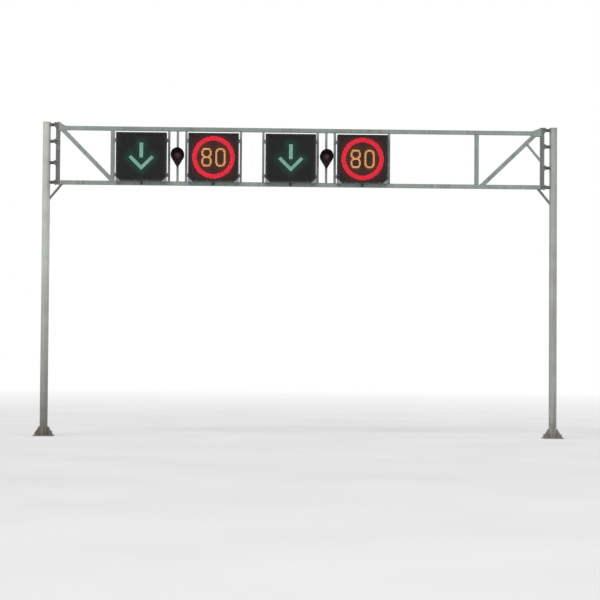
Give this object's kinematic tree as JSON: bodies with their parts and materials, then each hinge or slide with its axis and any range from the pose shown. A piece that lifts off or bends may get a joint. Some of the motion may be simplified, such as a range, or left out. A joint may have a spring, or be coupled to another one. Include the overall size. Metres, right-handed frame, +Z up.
{
  "type": "overhead sign gantry",
  "caption": "Overhead road sign gantry: round steel posts on bolted base plates carry a flat welded frame with lit lane and speed sign cabinets and round signal lamps.",
  "frame": {"origin": "centre of the underside of the left base plate, at ground level", "axes": "+X along the span from the left post to the right post as traffic sees it, +Z up, traffic comes from -Y and the signs face it"},
  "size_m": [11.42, 0.565, 6.764],
  "materials": {
    "galvanised_post": "dull galvanised, weathered",
    "galvanised_frame": "dull galvanised, weathered",
    "zinc_brackets": "bright zinc plated",
    "cabinet_black": "satin black powder coat",
    "display_black": "matt black display panel",
    "conduit_black": "matt black flexible conduit",
    "lamp_black": "matt black moulded plastic",
    "lamp_lens_red": "unlit red lens"
  },
  "bodies": {
    "root": {"left_post": "galvanised_post", "left_post_cap": "galvanised_post", "left_base_plate": "galvanised_post", "left_base_stiffeners": "galvanised_post", "left_post_brackets": "galvanised_post", "left_knee_brace": "galvanised_post", "left_end_upright": "galvanised_frame", "left_frame_flanges": "galvanised_frame", "left_panel_upright": "galvanised_frame", "left_diagonal": "galvanised_frame", "right_post": "galvanised_post", "right_post_cap": "galvanised_post", "right_base_plate": "galvanised_post", "right_base_stiffeners": "galvanised_post", "right_post_brackets": "galvanised_post", "right_knee_brace": "galvanised_post", "right_end_upright": "galvanised_frame", "right_frame_flanges": "galvanised_frame", "right_panel_upright": "galvanised_frame", "right_diagonal": "galvanised_frame", "right_end_strut": "galvanised_frame", "top_chord": "galvanised_frame", "bottom_chord": "galvanised_frame", "corner_gussets": "galvanised_frame", "sign_rails": "galvanised_frame", "lamp_uprights": "galvanised_frame", "arrow_sign_1_housing": "cabinet_black", "arrow_sign_1_face": "display_black", "arrow_sign_1_brackets": "zinc_brackets", "speed_sign_1_housing": "cabinet_black", "speed_sign_1_face": "display_black", "speed_sign_1_brackets": "zinc_brackets", "arrow_sign_2_housing": "cabinet_black", "arrow_sign_2_face": "display_black", "arrow_sign_2_brackets": "zinc_brackets", "speed_sign_2_housing": "cabinet_black", "speed_sign_2_face": "display_black", "speed_sign_2_brackets": "zinc_brackets", "sign_conduits": "conduit_black", "lamp_brackets": "zinc_brackets", "lamp_heads": "lamp_black", "lamp_visors": "lamp_black", "lamp_lenses": "lamp_lens_red"}
  },
  "joints": []
}
